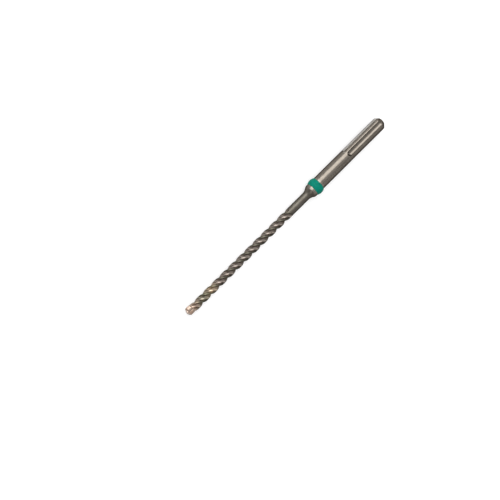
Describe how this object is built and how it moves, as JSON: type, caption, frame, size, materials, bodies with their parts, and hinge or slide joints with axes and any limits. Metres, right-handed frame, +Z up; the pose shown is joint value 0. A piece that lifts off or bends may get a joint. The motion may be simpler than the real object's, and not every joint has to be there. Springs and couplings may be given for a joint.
{
  "type": "sds-max drill bit",
  "caption": "Long hammer drill bit with a slotted round shank, a coloured marking ring, twisted flutes and a winged carbide head.",
  "frame": {"origin": "centre of the flat striking face at the shank's end", "axes": "+X along the bit from the striking face to the point, +Z up; the bit lies as it rests, on the marking ring and on the lands near the head, with one wing straight up"},
  "size_m": [0.35, 0.0218, 0.0218],
  "materials": {
    "steel": "satin turned steel, warm grey, with heat tint near the head",
    "carbide": "ground carbide with copper-coloured braze",
    "ring_plastic": "moulded teal-green plastic, half matt"
  },
  "bodies": {
    "root": {"drill_body": "steel", "carbide_insert": "carbide", "marking_ring": "ring_plastic"}
  },
  "joints": []
}
